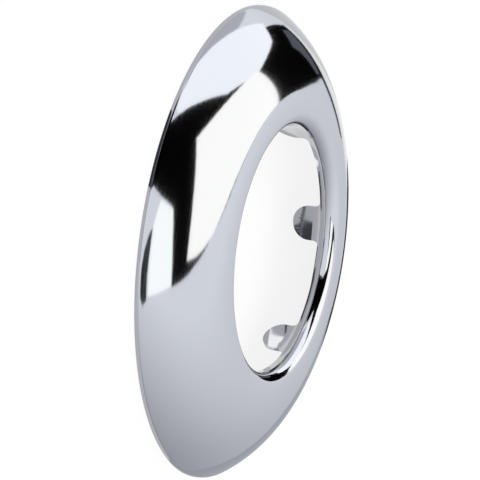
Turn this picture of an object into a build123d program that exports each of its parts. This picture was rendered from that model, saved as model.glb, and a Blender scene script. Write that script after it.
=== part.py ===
from build123d import *
import math
import os

# Siphon escutcheon: a round cover plate pressed from one piece of thin sheet brass.
# It is pushed along a trap's outlet tube up to the wall and holds on to the tube with spring tongues.
# Frame: Z is the tube's axis, Z = 0 is the wall, the domed front looks towards +Z, and a tongue lies on +X.
# Sizes are in millimetres. Radii of bends are those of the visible, plated side of the sheet.

# Plate
OUTER_DIAMETER = 62.0      # over the skirt at the rim
HEIGHT = 7.8               # from the wall to the crest of the dome
SHEET = 0.5                # thickness

# Rim
SKIRT_HEIGHT = 0.25        # straight edge that stands on the wall
RIM_BEND_RADIUS = 0.8      # bend between the skirt and the dome

# Bore
TUBE_DIAMETER = 32.0       # tube that goes through it
COLLAR_CLEARANCE = 0.15    # between the tube and the collar, on the radius
LIP_RADIUS = 1.6           # roll from the crest of the dome into the bore
COLLAR_HEIGHT = 0.5        # straight wall between the lip and the collar's back edge

# Spring tongues, shown as they stand with the tube in place
TONGUE_CLEARANCE = 0.05    # between the tube and a tongue, on the radius
TONGUE_COUNT = 6
TONGUE_WIDTH = 4.6         # between the straight edges; the tip is a half circle of this width
TONGUE_EDGE = 0.7          # straight part of each edge
TONGUE_ROOT_RADIUS = 0.8   # in the corners between a tongue and the collar
TONGUE_STEP = 1.0          # height over which a tongue leans in from the collar to the tube

# Radii and heights that follow from these
rim_radius = OUTER_DIAMETER / 2
bore_radius = TUBE_DIAMETER / 2 + COLLAR_CLEARANCE
crest_radius = bore_radius + LIP_RADIUS
land_radius = TUBE_DIAMETER / 2 + TONGUE_CLEARANCE
collar_top = HEIGHT - LIP_RADIUS
collar_edge = collar_top - COLLAR_HEIGHT
land_top = collar_edge - TONGUE_STEP
tip_centre = collar_edge - TONGUE_ROOT_RADIUS - TONGUE_EDGE
tongue_tip = tip_centre - TONGUE_WIDTH / 2

# The dome is one circular arc, level at the crest, that runs smoothly into the bend at the rim.
bend_centre = (rim_radius - RIM_BEND_RADIUS, SKIRT_HEIGHT)
dome_run = bend_centre[0] - crest_radius
dome_drop = HEIGHT - SKIRT_HEIGHT
dome_radius = (dome_run ** 2 + dome_drop ** 2 - RIM_BEND_RADIUS ** 2) / (2 * (dome_drop - RIM_BEND_RADIUS))
dome_centre = (crest_radius, HEIGHT - dome_radius)
bend_sweep = math.degrees(math.atan2(bend_centre[1] - dome_centre[1], dome_run))
lip_centre = (crest_radius, collar_top)


def sheet_line(depth):
    """Draw the section from the wall to a tongue's tip, so deep behind the visible side of the sheet."""
    Line((rim_radius - depth, 0), (rim_radius - depth, SKIRT_HEIGHT))
    CenterArc(bend_centre, RIM_BEND_RADIUS - depth, 0, bend_sweep)
    CenterArc(dome_centre, dome_radius - depth, bend_sweep, 90 - bend_sweep)
    CenterArc(lip_centre, LIP_RADIUS - depth, 90, 90)
    Polyline(
        (bore_radius + depth, collar_top),
        (bore_radius + depth, collar_edge),
        (land_radius + depth, land_top),
        (land_radius + depth, tongue_tip),
    )


# Section through the sheet: its visible side, its back, the edge on the wall and the edge at a tongue's tip
with BuildSketch(Plane.XZ) as section:
    with BuildLine():
        sheet_line(0)
        sheet_line(SHEET)
        Line((rim_radius, 0), (rim_radius - SHEET, 0))
        Line((land_radius, tongue_tip), (land_radius + SHEET, tongue_tip))
    make_face()

# One tongue on the +X side, seen along the radius, with the collar above it
half_width = TONGUE_WIDTH / 2
root_width = half_width + TONGUE_ROOT_RADIUS
window_inside = land_radius - SHEET
window_outside = bore_radius + 2 * SHEET
with BuildPart() as tongue:
    with BuildSketch(Plane.YZ.offset(window_inside)):
        with BuildLine():
            Line((0, collar_top), (root_width, collar_top))
            Line((root_width, collar_top), (root_width, collar_edge))
            CenterArc((root_width, collar_edge - TONGUE_ROOT_RADIUS), TONGUE_ROOT_RADIUS, 90, 90)
            Line((half_width, tip_centre + TONGUE_EDGE), (half_width, tip_centre))
            CenterArc((0, tip_centre), half_width, 0, -90)
            mirror(about=Plane.YZ)
        make_face()
    extrude(amount=window_outside - window_inside)

# Ring of sheet below the collar's back edge that is cut away between the tongues
with BuildPart() as windows:
    with BuildSketch(Plane.XY.offset(tongue_tip - SHEET)):
        Circle(window_outside)
        Circle(window_inside, mode=Mode.SUBTRACT)
    extrude(amount=collar_edge - tongue_tip + SHEET)
    with PolarLocations(0, TONGUE_COUNT):
        add(tongue.part, mode=Mode.SUBTRACT)

with BuildPart() as escutcheon:
    add(section.sketch)
    revolve(axis=Axis.Z)
    add(windows.part, mode=Mode.SUBTRACT)

os.makedirs("parts", exist_ok=True)
export_step(escutcheon.part, "parts/escutcheon.step")
print("volume", escutcheon.part.volume, "solids", len(escutcheon.part.solids()), "valid", escutcheon.part.is_valid)
print(escutcheon.part.bounding_box())
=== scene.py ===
# %% [markdown]
# A siphon escutcheon is the bright cover plate that slides along a wash-basin trap's outlet tube and hides
# the hole in the wall. It is one pressing of thin sheet brass: a domed flange, a tight lip round the bore,
# a short collar behind the lip and spring tongues on the collar's back edge. This lesson loads the part
# from its CAD frame, remodels the same sheet as a mesh that is smooth enough for a mirror finish, plates
# it with chrome, and sets it in a small studio.

# %% Load the frame and measure it
import math

import bpy
from mathutils import Matrix, Vector


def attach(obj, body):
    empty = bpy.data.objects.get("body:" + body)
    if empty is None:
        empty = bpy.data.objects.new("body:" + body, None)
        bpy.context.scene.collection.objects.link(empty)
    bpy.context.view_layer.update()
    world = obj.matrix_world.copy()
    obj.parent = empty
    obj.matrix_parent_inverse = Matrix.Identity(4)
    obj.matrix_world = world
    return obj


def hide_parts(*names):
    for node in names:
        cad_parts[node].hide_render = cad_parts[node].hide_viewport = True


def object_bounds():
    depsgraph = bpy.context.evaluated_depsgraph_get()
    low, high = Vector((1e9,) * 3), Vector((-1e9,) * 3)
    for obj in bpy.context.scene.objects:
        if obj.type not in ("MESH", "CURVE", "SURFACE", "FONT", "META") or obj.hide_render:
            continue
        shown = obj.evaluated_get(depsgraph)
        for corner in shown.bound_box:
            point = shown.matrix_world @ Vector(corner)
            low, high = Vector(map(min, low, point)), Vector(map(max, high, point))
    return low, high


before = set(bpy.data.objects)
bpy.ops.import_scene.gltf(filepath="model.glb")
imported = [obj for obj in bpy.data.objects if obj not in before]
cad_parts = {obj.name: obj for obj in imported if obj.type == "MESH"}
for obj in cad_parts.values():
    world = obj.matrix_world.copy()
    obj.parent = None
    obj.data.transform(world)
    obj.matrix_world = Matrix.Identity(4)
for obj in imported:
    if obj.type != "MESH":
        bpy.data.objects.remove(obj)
cad_low, cad_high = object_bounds()
MM = 0.001
rim_radius = cad_high.x
height = cad_high.z
print("rim radius", round(rim_radius / MM, 3), "mm, height", round(height / MM, 3), "mm")

# %% [markdown]
# A mirror shows every facet. The CAD mesh is cut into flat triangles, so its reflections would be broken
# up. The plate is therefore drawn again as a draughtsman would: first the section of the visible side,
# then one turn round the axis. Each size below is the real sheet's; the rim and the height are read from
# the frame.

# %% Sizes of the section
SHEET = 0.5 * MM
SKIRT_HEIGHT = 0.25 * MM
RIM_BEND_RADIUS = 0.8 * MM
LIP_RADIUS = 1.6 * MM
COLLAR_HEIGHT = 0.5 * MM
BORE_RADIUS = 16.15 * MM
LAND_RADIUS = 16.05 * MM
TONGUE_COUNT = 6
TONGUE_WIDTH = 4.6 * MM
TONGUE_EDGE = 0.7 * MM
TONGUE_ROOT_RADIUS = 0.8 * MM
TONGUE_STEP = 1.0 * MM

crest_radius = BORE_RADIUS + LIP_RADIUS
collar_top = height - LIP_RADIUS
collar_edge = collar_top - COLLAR_HEIGHT
tip_centre = collar_edge - TONGUE_ROOT_RADIUS - TONGUE_EDGE
tongue_tip = tip_centre - TONGUE_WIDTH / 2

bend_centre = Vector((rim_radius - RIM_BEND_RADIUS, 0, SKIRT_HEIGHT))
dome_run = bend_centre.x - crest_radius
dome_drop = height - SKIRT_HEIGHT
dome_radius = (dome_run ** 2 + dome_drop ** 2 - RIM_BEND_RADIUS ** 2) / (2 * (dome_drop - RIM_BEND_RADIUS))
dome_centre = Vector((crest_radius, 0, height - dome_radius))
lip_centre = Vector((crest_radius, 0, collar_top))
bend_sweep = math.atan2(bend_centre.z - dome_centre.z, dome_run)
print("dome radius", round(dome_radius / MM, 2), "mm, bend", round(math.degrees(bend_sweep), 1), "degrees")

# %% [markdown]
# In edit mode a single vertex can draw a section: extruding it makes a straight stretch, and spinning it
# about a centre makes an arc. The line below starts on the wall, climbs the skirt, bends into the dome,
# rolls over the lip, and goes down the collar to the tip of a tongue. A curve object could be drawn
# instead, but the vertex makes mesh at once, with true arcs and as many steps as each one needs.

# %% Draw the section with one vertex
def start_vertex(name, place):
    """Add a plane, melt it to one vertex at the place, and stay in edit mode."""
    bpy.ops.object.select_all(action="DESELECT")
    bpy.ops.mesh.primitive_plane_add(size=MM, location=place)
    bpy.context.object.name = name
    bpy.ops.object.transform_apply(location=True, rotation=True, scale=True)
    bpy.ops.object.mode_set(mode="EDIT")
    bpy.ops.mesh.select_all(action="SELECT")
    bpy.ops.mesh.merge(type="CENTER")
    return bpy.context.object


def draw_line(step):
    bpy.ops.mesh.extrude_region_move(TRANSFORM_OT_translate={"value": step})


def draw_arc(centre, angle, steps, axis):
    bpy.ops.mesh.spin(steps=steps, angle=angle, center=centre, axis=axis)


SECTION_AXIS = (0, 1, 0)
BEND_STEPS = 10
DOME_STEPS = 40
LIP_STEPS = 14
plate = start_vertex("escutcheon_sheet", (rim_radius, 0, 0))
draw_line((0, 0, SKIRT_HEIGHT))
draw_arc(bend_centre, bend_sweep, BEND_STEPS, SECTION_AXIS)
draw_arc(dome_centre, math.pi / 2 - bend_sweep, DOME_STEPS, SECTION_AXIS)
draw_arc(lip_centre, math.pi / 2, LIP_STEPS, SECTION_AXIS)
draw_line((0, 0, -COLLAR_HEIGHT))
draw_line((LAND_RADIUS - BORE_RADIUS, 0, -TONGUE_STEP))
draw_line((0, 0, tongue_tip - (collar_edge - TONGUE_STEP)))
bpy.ops.object.mode_set(mode="OBJECT")
print("section points", len(plate.data.vertices))

# %% [markdown]
# One full spin about the tube's axis turns the line into a skin. Its first and last copies are merged, the
# normals are made to agree, and Solidify gives the skin the thickness of the sheet, all of it behind the
# visible side. The back could be drawn as a second line, but Solidify keeps it at an even depth, as in a
# real pressing.

# %% Spin the section
AROUND = 240
SAME_PLACE = 0.001 * MM


def spin_round(steps):
    """Turn the selected object's mesh once round Z and close the seam."""
    bpy.ops.object.mode_set(mode="EDIT")
    bpy.ops.mesh.select_all(action="SELECT")
    bpy.ops.mesh.spin(steps=steps, angle=2 * math.pi, center=(0, 0, 0), axis=(0, 0, 1))
    bpy.ops.mesh.select_all(action="SELECT")
    bpy.ops.mesh.remove_doubles(threshold=SAME_PLACE)
    bpy.ops.mesh.normals_make_consistent(inside=False)
    bpy.ops.object.mode_set(mode="OBJECT")


spin_round(AROUND)
crest_face = max(plate.data.polygons, key=lambda f: f.center.z)
print("skin faces", len(plate.data.polygons), "crest normal", tuple(round(c, 2) for c in crest_face.normal))

# %% Give the skin the sheet's thickness
def apply_modifier(piece, kind, **settings):
    """Add a modifier with its settings and apply it at once."""
    bpy.ops.object.select_all(action="DESELECT")
    piece.select_set(True)
    bpy.context.view_layer.objects.active = piece
    modifier = piece.modifiers.new(kind.lower(), kind)
    for name, value in settings.items():
        setattr(modifier, name, value)
    bpy.ops.object.modifier_apply(modifier=modifier.name)


BACK_SLOT = 1
for finish_name in ("bright chrome plate on pressed brass", "matt chrome plate on the unpolished back"):
    plate.data.materials.append(bpy.data.materials.new(finish_name))
apply_modifier(plate, "SOLIDIFY", thickness=SHEET, offset=-1, use_even_offset=True, material_offset=BACK_SLOT)
print("sheet faces", len(plate.data.polygons), "size in mm", [round(d / MM, 3) for d in plate.dimensions])

# %% [markdown]
# The press tool cuts the collar's back edge into tongues. Here the same tool is made: a ring that covers
# the sheet below the collar's edge, with the outline of each tongue taken out of it, so that the ring
# takes away only what lies between the tongues. Tongues could also be made one by one and joined on, but
# on the real plate they are what is left of the sheet, and cutting keeps it one piece. The outline is
# drawn with one vertex again, in the plane across the radius.

# %% Make the tongue's outline as a block
window_inside = LAND_RADIUS - SHEET
window_outside = BORE_RADIUS + 2 * SHEET
root_width = TONGUE_WIDTH / 2 + TONGUE_ROOT_RADIUS
root_height = collar_edge - TONGUE_ROOT_RADIUS
OUTLINE_AXIS = (1, 0, 0)
ROOT_STEPS = 8
TIP_STEPS = 32

tongue_block = start_vertex("tongue_block", (window_inside, root_width, collar_edge))
draw_arc(Vector((window_inside, root_width, root_height)), -math.pi / 2, ROOT_STEPS, OUTLINE_AXIS)
draw_line((0, 0, -TONGUE_EDGE))
draw_arc(Vector((window_inside, 0, tip_centre)), math.pi, TIP_STEPS, OUTLINE_AXIS)
draw_line((0, 0, TONGUE_EDGE))
draw_arc(Vector((window_inside, -root_width, root_height)), -math.pi / 2, ROOT_STEPS, OUTLINE_AXIS)
draw_line((0, 0, COLLAR_HEIGHT))
draw_line((0, 2 * root_width, 0))
bpy.ops.mesh.select_all(action="SELECT")
bpy.ops.mesh.edge_face_add()
bpy.ops.mesh.extrude_region_move(TRANSFORM_OT_translate={"value": (window_outside - window_inside, 0, 0)})
bpy.ops.mesh.select_all(action="SELECT")
bpy.ops.mesh.remove_doubles(threshold=SAME_PLACE)
bpy.ops.mesh.normals_make_consistent(inside=False)
bpy.ops.object.mode_set(mode="OBJECT")
print("tongue block in mm", [round(d / MM, 3) for d in tongue_block.dimensions])

# %% [markdown]
# The ring starts as the rectangle that it is in section, and is spun like the plate. The six tongues are
# taken out of it first, and then the ring cuts the sheet in one go. The exact solver is used because the
# ring's top passes through edges of the sheet, which a faster solver may get wrong.

# %% Make the ring
window_low = tongue_tip - SHEET
bpy.ops.object.select_all(action="DESELECT")
bpy.ops.mesh.primitive_plane_add(
    size=1, rotation=(math.pi / 2, 0, 0),
    location=((window_inside + window_outside) / 2, 0, (window_low + collar_edge) / 2),
)
windows = bpy.context.object
windows.name = "windows_between_tongues"
windows.scale = (window_outside - window_inside, collar_edge - window_low, 1)
bpy.ops.object.transform_apply(location=True, rotation=True, scale=True)
bpy.ops.object.mode_set(mode="EDIT")
bpy.ops.mesh.delete(type="ONLY_FACE")
bpy.ops.object.mode_set(mode="OBJECT")
spin_round(AROUND)
print("ring faces", len(windows.data.polygons))

# %% Take the tongues out of the ring and cut the sheet
for number in range(TONGUE_COUNT):
    block = tongue_block.copy()
    block.data = tongue_block.data.copy()
    bpy.context.collection.objects.link(block)
    block.data.transform(Matrix.Rotation(2 * math.pi * number / TONGUE_COUNT, 4, "Z"))
    apply_modifier(windows, "BOOLEAN", operation="DIFFERENCE", solver="EXACT", object=block)
    bpy.data.objects.remove(block)
apply_modifier(plate, "BOOLEAN", operation="DIFFERENCE", solver="EXACT", object=windows)
bpy.data.objects.remove(windows)
bpy.data.objects.remove(tongue_block)
print("cut sheet faces", len(plate.data.polygons))

# %% [markdown]
# A pressed sheet is smooth over its bends and crisp at its cut edges. Smooth shading by angle does both:
# an edge that turns by more than the angle below stays crisp. The two folds at the ends of a tongue's step
# turn by much less, so the straight stretches beside them would mirror as if they were bent. These folds
# are therefore marked sharp as well.

# %% Shade the sheet smoothly and keep the tongues' folds
SMOOTH_ANGLE = math.radians(35)
BORE_MARGIN = 0.01 * MM
bpy.ops.object.select_all(action="DESELECT")
plate.select_set(True)
bpy.context.view_layer.objects.active = plate
bpy.ops.object.shade_smooth_by_angle(angle=SMOOTH_ANGLE)

bore_side = [point for point in plate.data.vertices if point.co.xy.length < BORE_RADIUS + BORE_MARGIN]
for fold in (collar_edge, collar_edge - TONGUE_STEP):
    on_fold = {point.index for point in bore_side if abs(point.co.z - fold) < SAME_PLACE}
    creases = [edge for edge in plate.data.edges if on_fold.issuperset(edge.vertices)]
    for edge in creases:
        edge.use_edge_sharp = True
    print("fold at", round(fold / MM, 2), "mm with", len(creases), "creased edges")

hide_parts("escutcheon")
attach(plate, "root")

# %% [markdown]
# Finishes. A colour is written as the sRGB value that a paint chart would give and turned to linear light
# by one function. Another small function adds a node, sets it up and links it, so that a material reads
# like a recipe.

# %% Helpers for colours and nodes
def linear(hex_colour):
    """Turn an sRGB hex value into the linear colour that shaders use."""
    channels = [int(hex_colour[i:i + 2], 16) / 255 for i in (1, 3, 5)]
    return [c / 12.92 if c <= 0.04045 else ((c + 0.055) / 1.055) ** 2.4 for c in channels] + [1]


def add_node(tree, kind, inputs, **settings):
    """Add a node; each input is given a value or the socket that feeds it."""
    node = tree.nodes.new(kind)
    for name, value in settings.items():
        setattr(node, name, value)
    for name, value in inputs.items():
        if isinstance(value, bpy.types.NodeSocket):
            tree.links.new(value, node.inputs[name])
        else:
            node.inputs[name].default_value = value
    return node


print("a mid grey in linear light", [round(c, 3) for c in linear("#808080")])

# %% [markdown]
# The visible side is decorative chrome plate on brass that was polished before plating. It is a mirror
# with a very slight haze, so its colour is the room's. What tells it from perfect glass is the making:
# faint rings in the haze, left by the polishing wheel, and a slow waviness of the pressed sheet, a few
# thousandths of a millimetre deep. The wheel's real lines are finer than these rings, which are as coarse
# as it takes to show. A picture of scratches could do the same, but patterns worked out from the object's
# own coordinates need no file and keep their real size.

# %% Bright chrome for the front
RING_SPACING = 0.35 * MM
WAVE_LENGTH = 9 * MM
WAVE_DEPTH = 0.004 * MM
WAVE_TEXTURE_PERIOD = math.pi / 10  # Blender's wave texture repeats after this length at a scale of 1
RING_WANDER = 1.5
HAZE_LOW = 0.06
HAZE_HIGH = 0.085
front_finish = plate.data.materials[0]
front_finish.use_nodes = True
tree = front_finish.node_tree
shader = tree.nodes["Principled BSDF"]
shader.inputs["Base Color"].default_value = linear("#C5C6C8")
shader.inputs["Metallic"].default_value = 1
place = add_node(tree, "ShaderNodeTexCoord", {})
rings = add_node(
    tree, "ShaderNodeTexWave",
    {
        "Vector": place.outputs["Object"], "Scale": WAVE_TEXTURE_PERIOD / RING_SPACING,
        "Distortion": RING_WANDER, "Detail": 2,
    },
    wave_type="RINGS", rings_direction="Z",
)
haze = add_node(
    tree, "ShaderNodeMapRange", {"Value": rings.outputs["Fac"], "To Min": HAZE_LOW, "To Max": HAZE_HIGH},
)
tree.links.new(haze.outputs["Result"], shader.inputs["Roughness"])
waves = add_node(
    tree, "ShaderNodeTexNoise", {"Vector": place.outputs["Object"], "Scale": 1 / WAVE_LENGTH, "Detail": 1},
)
relief = add_node(
    tree, "ShaderNodeBump", {"Height": waves.outputs["Fac"], "Strength": 1, "Distance": WAVE_DEPTH},
)
tree.links.new(relief.outputs["Normal"], shader.inputs["Normal"])
print("front finish", front_finish.name, "with", len(tree.nodes), "nodes")

# %% [markdown]
# The back went through the same bath, but nobody polishes a side that faces the wall. The plating copies
# the rolled sheet's own grain, so it is a duller, slightly darker grey. One plain grey could do, but then
# the back would look like plastic; a fine grain in shade and dullness tells the eye that it is metal.

# %% Dull plating for the back
GRAIN_SIZE = 0.25 * MM
DULLNESS_LOW = 0.3
DULLNESS_HIGH = 0.42
back_finish = plate.data.materials[BACK_SLOT]
back_finish.use_nodes = True
tree = back_finish.node_tree
shader = tree.nodes["Principled BSDF"]
shader.inputs["Metallic"].default_value = 1
place = add_node(tree, "ShaderNodeTexCoord", {})
grain = add_node(
    tree, "ShaderNodeTexNoise", {"Vector": place.outputs["Object"], "Scale": 1 / GRAIN_SIZE, "Detail": 3},
)
shade = add_node(
    tree, "ShaderNodeMapRange",
    {"Value": grain.outputs["Fac"], "To Min": linear("#B4B4B4")[0], "To Max": linear("#C6C6C6")[0]},
)
dullness = add_node(
    tree, "ShaderNodeMapRange",
    {"Value": grain.outputs["Fac"], "To Min": DULLNESS_LOW, "To Max": DULLNESS_HIGH},
)
tree.links.new(shade.outputs["Result"], shader.inputs["Base Color"])
tree.links.new(dullness.outputs["Result"], shader.inputs["Roughness"])
print("back finish", back_finish.name, "with", len(tree.nodes), "nodes")

# %% [markdown]
# The camera. The plate lies on its rim, and the picture was taken from low over one side with the camera
# rolled, so that the plate seems to stand. Azimuth is measured from the middle of a tongue, elevation from
# the floor. A long lens far away gives the flat perspective of a catalogue picture. The camera could be
# placed by eye, but its directions are worked out from three angles here, so that it can be turned without
# losing the plate.

# %% Set up the camera
CAMERA_ELEVATION = math.radians(21.93)
CAMERA_AZIMUTH = math.radians(165.97)
CAMERA_ROLL = math.radians(8.25)
PERSPECTIVE = 0.036  # the rim's radius over the camera's distance
CAMERA_DISTANCE = rim_radius / PERSPECTIVE
PICTURE = 480
PIXELS_PER_RIM_RADIUS = 238.25
CENTRE_PIXEL = (231.9, 241.4)
SENSOR = 36

to_camera = Vector((
    math.cos(CAMERA_ELEVATION) * math.cos(CAMERA_AZIMUTH),
    math.cos(CAMERA_ELEVATION) * math.sin(CAMERA_AZIMUTH),
    math.sin(CAMERA_ELEVATION),
))
axis_in_picture = (Vector((0, 0, 1)) - to_camera * to_camera.z).normalized()
across_axis = to_camera.cross(axis_in_picture)
picture_right = axis_in_picture * math.cos(CAMERA_ROLL) + across_axis * math.sin(CAMERA_ROLL)
picture_up = to_camera.cross(picture_right)
pixel = rim_radius / PIXELS_PER_RIM_RADIUS
aim = (picture_right * (PICTURE / 2 - CENTRE_PIXEL[0]) + picture_up * (CENTRE_PIXEL[1] - PICTURE / 2)) * pixel

bpy.ops.object.camera_add()
camera = bpy.context.object
camera.data.sensor_width = SENSOR
camera.data.lens = SENSOR * CAMERA_DISTANCE / (PICTURE * pixel)
camera.data.clip_start = CAMERA_DISTANCE / 100
camera.data.clip_end = CAMERA_DISTANCE * 100
turn = Matrix((picture_right, picture_up, to_camera)).transposed()
camera.matrix_world = Matrix.Translation(to_camera * CAMERA_DISTANCE + aim) @ turn.to_4x4()
bpy.context.scene.camera = camera
print("lens", round(camera.data.lens), "mm at", round(CAMERA_DISTANCE, 3), "m")

# %% [markdown]
# The studio. A mirror shows nothing but its surroundings, so lighting chrome means arranging what it sees.
# A studio does this with a few large cards: one softbox overhead, one at the side, one beside the camera,
# black cloth between them to draw dark bands, and a pale grey room for the rest. A card's outline matters
# only as the plate sees it, so each corner is given in degrees from straight up: first away from the
# camera, then across to the picture's top.

# %% Hang a card in the studio
away = Vector((-math.cos(CAMERA_AZIMUTH), -math.sin(CAMERA_AZIMUTH), 0))
across = Vector((0, 0, 1)).cross(away)
print("away from the camera is", [round(c, 2) for c in away])


def seen_at(corner, distance):
    """Point at this distance from the plate, in the direction given in degrees from straight up."""
    tilt = math.radians(math.hypot(*corner))
    turn = math.atan2(corner[1], corner[0])
    level = away * math.cos(turn) + across * math.sin(turn)
    return distance * (level * math.sin(tilt) + Vector((0, 0, math.cos(tilt))))


def glow(name, hex_colour, strength):
    """Make a plain finish that gives this light."""
    finish = bpy.data.materials.new(name)
    finish.use_nodes = True
    tree = finish.node_tree
    tree.nodes.clear()
    lamp = add_node(tree, "ShaderNodeEmission", {"Color": linear(hex_colour), "Strength": strength})
    add_node(tree, "ShaderNodeOutputMaterial", {"Surface": lamp.outputs["Emission"]})
    return finish


def add_card(name, points, finish):
    """Make a card with these corners; it lights the plate and is mirrored, but the camera looks past it."""
    bpy.ops.object.select_all(action="DESELECT")
    bpy.ops.mesh.primitive_circle_add(vertices=len(points), fill_type="NGON")
    card = bpy.context.object
    card.name = name
    for vertex, point in zip(card.data.vertices, points):
        vertex.co = point
    card.data.materials.append(finish)
    card.visible_camera = False
    print(card.name, "with", len(points), "corners")
    return card


def hang(name, distance, corners, finish):
    """Hang a card so many metres away, with its corners in degrees from straight up."""
    add_card(name, [seen_at(corner, distance) for corner in corners], finish)


# %% Softboxes
hang("top_softbox", 3, [(-1.5, -7), (8, -4.8), (19, -0.5), (40, 6), (59, 12.2), (42, 35), (-7.5, 31)],
     glow("white softbox cloth", "#FFFEFC", 1.7))
hang("front_softbox", 3, [(-33.5, -27), (-14, -17), (-23, 8), (-36, 12.5), (-40.5, 2), (-39.5, -12)],
     glow("white softbox cloth beside the camera", "#F8FBFB", 1.75))
hang("side_softbox", 4, [(59, 41), (63.5, 49.5), (-24, 59.5), (-22.5, 48), (18, 38), (41, 33)],
     glow("cool softbox cloth", "#F5F8FF", 1.65))

# %% [markdown]
# Cards that give little light are as important. Black cloth behind the softboxes parts them with dark
# bands. A narrow strip beside the front softbox and two low skirtings draw thin dark lines along the rim,
# and a grey card and a grey wall soften the places where cloth, room and floor meet.

# %% Black cloth and grey cards
black = glow("black velvet", "#050506", 1)
hang("right_cloth", 9, [
    (2, -10.3), (7, -7.3), (15, -3.7), (24, 0.3), (38, 4.9), (48, 8.1), (59.5, 12), (67, 13), (73, 15.5),
    (80, 17), (88, 17.5), (82, 36), (74, 42), (66, 46), (40, 50), (2, 48),
], black)
hang("left_cloth", 9, [
    (4, 48), (-15, 46.8), (-30, 46.5), (-33, 52), (-31, 60), (-29, 72), (-45, 77), (-75, 49), (-85, 27),
    (-60, 22), (-45, 19.5), (-36, 14), (-24, 9), (-18, -5), (-13, -17.2), (-4.5, -13.3), (4, -9.1),
], black)
hang("front_strip", 9, [
    (-40.5, 1), (-43, -2), (-45.5, -9), (-45.5, -20), (-40, -30), (-35.5, -32.5), (-33.5, -29), (-38, -19),
], glow("dark grey strip", "#303236", 1))
hang("grey_card", 6, [
    (75, 38.5), (71.8, 31.5), (75.5, 28), (78.5, 23.5), (80.5, 18.5), (84, 18.5), (83, 27), (80.5, 35),
], glow("dim grey card", "#6A6E78", 0.85))
hang("grey_wall", 8, [(63, 58), (45, 60), (10, 62), (-20, 62), (-20, 82), (10, 88), (45, 77), (66, 60)],
     glow("grey wall below the side softbox", "#E4E8F4", 0.85))

# %% Low skirtings
SKIRTING_FOOT = 89.5
SKIRTING_DISTANCE = 10


def on_circle(radius, turns):
    """Corners on a circle; turns are degrees from away from the camera towards the picture's top."""
    return [(radius * math.cos(math.radians(turn)), radius * math.sin(math.radians(turn))) for turn in turns]


def skirting(name, top, turns, finish):
    """Hang a low band just above the floor; its top is in degrees from straight up."""
    corners = on_circle(top, turns) + on_circle(SKIRTING_FOOT, reversed(turns))
    hang(name, SKIRTING_DISTANCE, corners, finish)


dark_skirting = glow("dark skirting", "#3A3C42", 1)
skirting("far_skirting", 86, range(5, 26, 5), dark_skirting)
skirting("near_skirting", 85, range(110, 196, 5), dark_skirting)

# %% [markdown]
# The steepest parts of the plate, the foot of the rim and the tongues, mirror only the floor close by, and
# white metal on a white floor has no outline. Grey cards laid round the rim give it one, and a few small
# ones under the bore give the tongues and the collar the patches that such metal shows in a room. The
# patches could be painted into the plating, but then they would stay in place in any other light; a card
# changes only what the metal mirrors. These cards are there for the metal alone: they neither show to the
# camera nor shade the floor. Corners are in millimetres from the tube's axis, and a card of the second
# layer lies on one of the first.

# %% Cards on the floor round the rim
CARD_LIFT = 0.02 * MM


def lay(name, layer, corners, finish):
    """Lay a card on the floor; a corner is given away from the camera, then across to the picture's top."""
    lift = Vector((0, 0, CARD_LIFT * layer))
    card = add_card(name, [(away * x + across * y) * MM + lift for x, y in corners], finish)
    card.visible_diffuse = False
    card.visible_shadow = False


def lay_round_rim(name, outside, turns, finish):
    """Lay a band from under the rim outwards, as far as the outside radius."""
    inside = (rim_radius - SHEET) / MM
    lay(name, 1, on_circle(outside, turns) + on_circle(inside, reversed(turns)), finish)


pale_card = glow("pale grey card", "#DEDFE4", 1)
dark_card = glow("dark grey card", "#45474C", 1)
lay_round_rim("rim_card_front", 46, range(170, 251, 5), pale_card)
lay_round_rim("rim_card_top", 100, range(30, 151, 5), pale_card)
lay_round_rim("rim_card_side", 46, range(150, 171, 5), dark_card)
lay("far_card", 1, [(26, -13), (180, -13), (180, 14), (26, 14)], dark_card)
lay("low_card", 1, [(-10.6, -29), (20, -20), (28, -13), (2500, -13), (2500, -2500), (-900, -2500)],
    glow("mid grey card", "#B3B6BE", 1))

# %% Cards on the floor under the bore
BORE_CARD_RADIUS = 15.5
lay("bore_card", 1, on_circle(BORE_CARD_RADIUS, range(0, 360, 15)), glow("grey card", "#CBCDD4", 1))
lay("tongue_card", 2, [(8.9, 0.4), (7, -0.7), (4, -2.3), (3.4, -0.7), (6, 0.4), (8, 0.5)], dark_card)
lay("tongue_tip_card", 2, [(10.9, 1.2), (8.9, 0.4), (7.9, -0.3), (9.5, -0.4), (10.8, 0.5)], dark_card)
lay("low_collar_card", 2, [(0.5, 1.5), (3, 1.5), (5, 2.8), (7.3, 3.6), (7.3, 6), (3, 5.5), (0.5, 3.5)],
    dark_card)
lay("high_collar_card", 2, [(3.4, -4.3), (9.9, -4.2), (10, -5.6), (6, -6), (3, -5.2)], dark_card)
lay("bright_card", 2, [(11.2, -5), (11.3, 1.5), (11.6, 2.2), (12.1, -1.2), (12.9, -2), (12.3, -5)],
    glow("bright card", "#FFFFFF", 1.5))

# %% [markdown]
# The room and the floor. The room is a pale bluish grey that darkens away from the softboxes, which gives
# the lower half of the plate its even shading. A picture of a real room could light the plate too, but one
# direction from light to dark is enough here and needs no file. The floor is a light table of opal
# acrylic, as catalogue photographers use. Most of its white is a glow that only the camera and the metal
# see, so it comes out white without more light on the plate. The rest is its own grey surface in the light
# of the cards, and that part keeps the plate's soft shadow.

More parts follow.
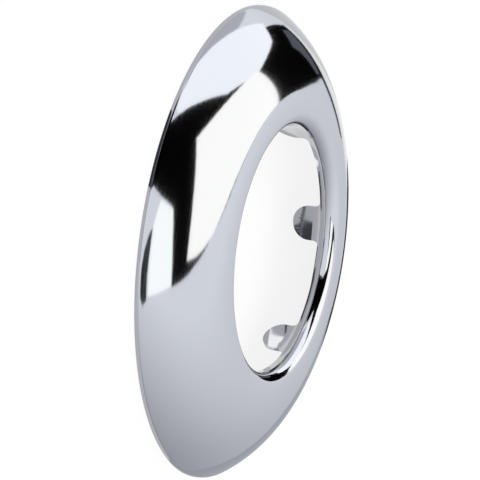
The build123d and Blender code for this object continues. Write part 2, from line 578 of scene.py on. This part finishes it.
# %% Grey room
LIGHT_SIDE = seen_at((-12.6, 43.2), 1)
DARK_FROM = -0.8  # cosine of the angle to the light side where the room is darkest
LIGHT_FROM = 0.4  # and where it is lightest
ROOM_DARKEST = 0.395
ROOM_LIGHTEST = 1.26
world = bpy.data.worlds.new("grey room")
bpy.context.scene.world = world
world.use_nodes = True
tree = world.node_tree
place = add_node(tree, "ShaderNodeTexCoord", {})
lightness = add_node(
    tree, "ShaderNodeVectorMath", {0: place.outputs["Generated"], 1: LIGHT_SIDE}, operation="DOT_PRODUCT",
)
shading = add_node(
    tree, "ShaderNodeMapRange",
    {
        "Value": lightness.outputs["Value"], "From Min": DARK_FROM, "From Max": LIGHT_FROM,
        "To Min": ROOM_DARKEST, "To Max": ROOM_LIGHTEST,
    },
)
tree.nodes["Background"].inputs["Color"].default_value = linear("#F0F3FB")
tree.links.new(shading.outputs["Result"], tree.nodes["Background"].inputs["Strength"])
print("room lightest towards", [round(c, 2) for c in LIGHT_SIDE])

# %% Light table
FLOOR_SIZE = 24
FLOOR_GLOW = 0.84
bpy.ops.object.select_all(action="DESELECT")
bpy.ops.mesh.primitive_plane_add(size=FLOOR_SIZE)
floor = bpy.context.object
floor.name = "floor"
floor_finish = bpy.data.materials.new("opal acrylic light table")
floor_finish.use_nodes = True
tree = floor_finish.node_tree
acrylic = tree.nodes["Principled BSDF"]
acrylic.inputs["Base Color"].default_value = linear("#757575")
acrylic.inputs["Roughness"].default_value = 0.9
acrylic.inputs["Specular IOR Level"].default_value = 0
rays = add_node(tree, "ShaderNodeLightPath", {})
seen = add_node(
    tree, "ShaderNodeMath",
    {0: rays.outputs["Is Camera Ray"], 1: rays.outputs["Is Glossy Ray"]}, operation="ADD",
)
seen = add_node(
    tree, "ShaderNodeMath",
    {0: seen.outputs["Value"], 1: rays.outputs["Is Transmission Ray"]}, operation="ADD",
)
glow_strength = add_node(
    tree, "ShaderNodeMath", {0: seen.outputs["Value"], 1: FLOOR_GLOW}, operation="MULTIPLY",
)
acrylic.inputs["Emission Color"].default_value = linear("#FFFFFF")
tree.links.new(glow_strength.outputs["Value"], acrylic.inputs["Emission Strength"])
floor.data.materials.append(floor_finish)
bpy.context.scene.view_settings.view_transform = "Standard"
print("floor", FLOOR_SIZE, "m across, glow", FLOOR_GLOW)

# %% [markdown]
# Last, the box of the CAD part is printed in millimetres.

# %% Print the box of the CAD part
print("box of the CAD part in mm", [round(c / MM, 2) for c in (*cad_low, *cad_high)])
